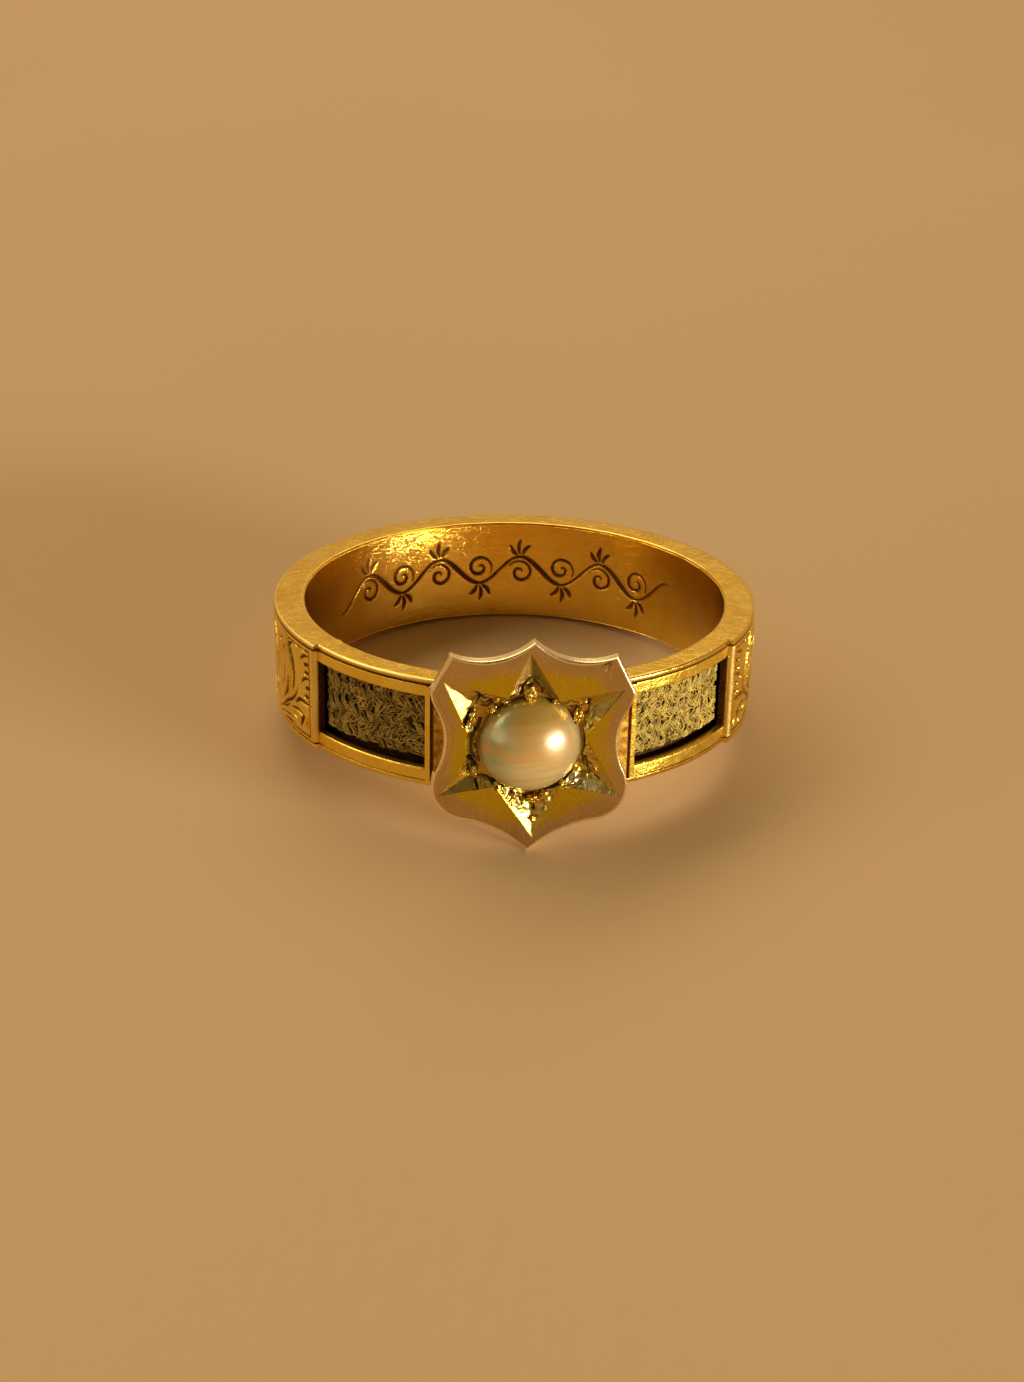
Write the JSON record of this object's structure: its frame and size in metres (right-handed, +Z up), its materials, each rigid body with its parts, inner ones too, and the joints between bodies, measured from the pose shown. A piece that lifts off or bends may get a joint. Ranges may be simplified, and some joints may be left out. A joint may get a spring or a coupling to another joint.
{
  "type": "mourning ring",
  "caption": "Gold hair-work mourning ring: a wide band with plaited hair behind two windows, engraved shoulders, and a shield bezel with a half pearl in a star cut",
  "frame": {"origin": "the middle of the finger hole, on its axis", "axes": "+Z is up as the ring lies on its side; -Y is the front, where the shield bezel faces; +X is to the right seen from the front. The finger hole's axis leans back from +Z by 5.8 degrees, because the ring rests on the bezel's lower tip and on the back of the band"},
  "size_m": [0.0196, 0.0215, 0.0086],
  "materials": {
    "gold": "polished",
    "pearl": "satin",
    "hair": "matte"
  },
  "bodies": {
    "root": {"sleeve": "gold", "cover_band": "gold", "half_pearl": "pearl", "hair_plait": "hair"}
  },
  "joints": []
}
